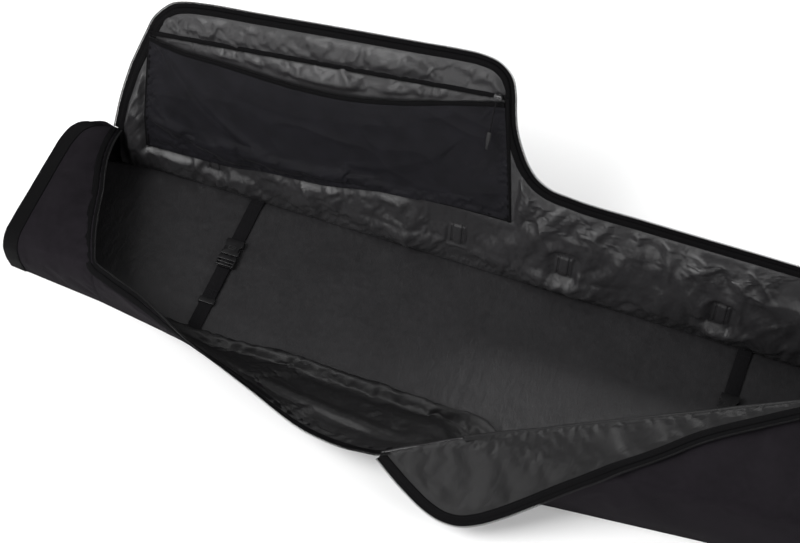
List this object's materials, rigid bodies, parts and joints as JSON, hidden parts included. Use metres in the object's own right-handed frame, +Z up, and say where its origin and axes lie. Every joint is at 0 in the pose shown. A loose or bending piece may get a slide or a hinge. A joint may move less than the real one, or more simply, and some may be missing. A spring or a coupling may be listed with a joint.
{
  "type": "snowboard bag",
  "caption": "Long soft snowboard bag lying open: lid with mesh pocket folded back, front flap turned over, zippers, tie-down straps with buckles and a carry handle.",
  "frame": {"origin": "on the ground under the middle of the bag's length, on the centre line of the board it holds", "axes": "+X along the bag towards the end where the opening's zipper closes, +Y from the front wall to the back wall, +Z up"},
  "size_m": [1.68, 0.6296, 0.4415],
  "materials": {
    "shell": "matte woven",
    "lining": "coated, slight sheen",
    "foam": "closed-cell foam",
    "mesh": "open mesh",
    "webbing": "ribbed weave",
    "binding": "ribbed tape",
    "zip_tape": "coil zipper tape",
    "buckle_plastic": "moulded",
    "zip_metal": "black enamel",
    "ring_metal": "black enamel",
    "cord": "braided",
    "pull_rubber": "moulded",
    "grip_fabric": "padded wrap"
  },
  "bodies": {
    "bag": {"back_wall": "shell", "base_panel": "shell", "cap_zip_tape": "zip_tape", "closed_zip_tape": "zip_tape", "floor_foam": "foam", "floor_lining": "lining", "front_deck": "shell", "front_wall_left": "shell", "front_wall_middle": "shell", "front_wall_right": "shell", "front_zip_tape": "zip_tape", "handle_anchor_left": "webbing", "handle_anchor_right": "webbing", "left_buckle_socket": "buckle_plastic", "left_cap_top": "shell", "left_end_binding": "binding", "left_end_panel": "shell", "left_front_webbing": "webbing", "left_rear_webbing": "webbing", "patch_handle_left": "lining", "patch_handle_right": "lining", "patch_ring_left": "lining", "patch_ring_right": "lining", "right_buckle_socket": "buckle_plastic", "right_deck": "shell", "right_end_binding": "binding", "right_end_panel": "shell", "right_front_webbing": "webbing", "right_rear_webbing": "webbing", "ring_tab_left": "webbing", "ring_tab_right": "webbing"},
    "lid": {"lid_panel": "shell", "lid_lining": "lining", "lid_zip_tape": "zip_tape", "mesh_pocket": "mesh", "pocket_zip_tape": "zip_tape", "pocket_binding": "binding", "pocket_mouth_tape": "zip_tape"},
    "pocket_slider": {"pocket_slider": "zip_metal"},
    "pocket_pull": {"pocket_pull_cord": "cord", "pocket_pull_grip": "pull_rubber"},
    "flap": {"flap_panel": "shell", "flap_zip_tape": "zip_tape"},
    "flap_corner": {"flap_corner_panel": "shell", "flap_corner_zip_tape": "zip_tape"},
    "main_slider": {"main_zip_slider": "zip_metal"},
    "main_pull": {"main_zip_pull": "zip_metal"},
    "left_plug": {"left_buckle_plug": "buckle_plastic", "left_strap_loop": "webbing"},
    "right_plug": {"right_buckle_plug": "buckle_plastic", "right_strap_loop": "webbing"},
    "left_keeper": {"left_strap_keeper": "buckle_plastic"},
    "right_keeper": {"right_strap_keeper": "buckle_plastic"},
    "handle": {"handle_webbing": "webbing", "handle_grip": "grip_fabric"},
    "ring_left": {"d_ring_left": "ring_metal"},
    "ring_right": {"d_ring_right": "ring_metal"}
  },
  "joints": [
    {"name": "lid_fold", "type": "hinge", "parent": "bag", "child": "lid", "pos_m": [0, 0.17, 0.15], "axis": [1, 0, 0], "range_deg": [-75, 109]},
    {"name": "pocket_zip", "type": "slide", "parent": "lid", "child": "pocket_slider", "axis": [-0.9935, -0.039, -0.1073], "range_m": [0, 0.6]},
    {"name": "pocket_pull_swing", "type": "hinge", "parent": "pocket_slider", "child": "pocket_pull", "pos_m": [-0.0649, 0.2413, 0.37763], "axis": [-1, 0, 0], "range_deg": [0, 110]},
    {"name": "flap_fold", "type": "hinge", "parent": "bag", "child": "flap", "pos_m": [0.06, -0.255, 0.15], "axis": [-0.8876, -0.4607, 0], "range_deg": [0, 176]},
    {"name": "flap_corner_fold", "type": "hinge", "parent": "flap", "child": "flap_corner", "pos_m": [0.06, -0.255, 0.1545], "axis": [-0.9962, -0.0866, 0], "range_deg": [0, 48]},
    {"name": "main_zip", "type": "slide", "parent": "bag", "child": "main_slider", "axis": [0.9662, 0, -0.2577], "range_m": [0, 0.08]},
    {"name": "main_pull_flip", "type": "hinge", "parent": "main_slider", "child": "main_pull", "pos_m": [0.70788, 0.084, 0.15069], "axis": [0, -1, 0], "range_deg": [0, 170]},
    {"name": "left_buckle_release", "type": "slide", "parent": "bag", "child": "left_plug", "axis": [0, -1, 0], "range_m": [0, 0.03]},
    {"name": "right_buckle_release", "type": "slide", "parent": "bag", "child": "right_plug", "axis": [0, -1, 0], "range_m": [0, 0.03]},
    {"name": "left_keeper_slide", "type": "slide", "parent": "bag", "child": "left_keeper", "axis": [0, -1, 0], "range_m": [-0.02, 0.03]},
    {"name": "right_keeper_slide", "type": "slide", "parent": "bag", "child": "right_keeper", "axis": [0, -1, 0], "range_m": [-0.02, 0.03]},
    {"name": "handle_swing", "type": "hinge", "parent": "bag", "child": "handle", "pos_m": [0, 0.17445, 0.1], "axis": [1, 0, 0], "range_deg": [0, 85]},
    {"name": "ring_left_swing", "type": "hinge", "parent": "bag", "child": "ring_left", "pos_m": [-0.561, 0.1749, 0.096], "axis": [1, 0, 0], "range_deg": [0, 85]},
    {"name": "ring_right_swing", "type": "hinge", "parent": "bag", "child": "ring_right", "pos_m": [0.38, 0.1749, 0.096], "axis": [1, 0, 0], "range_deg": [0, 85]}
  ],
  "couplings": [
    {"joint": "flap_corner_fold", "follows": "flap_fold", "ratio": 0.27253}
  ]
}
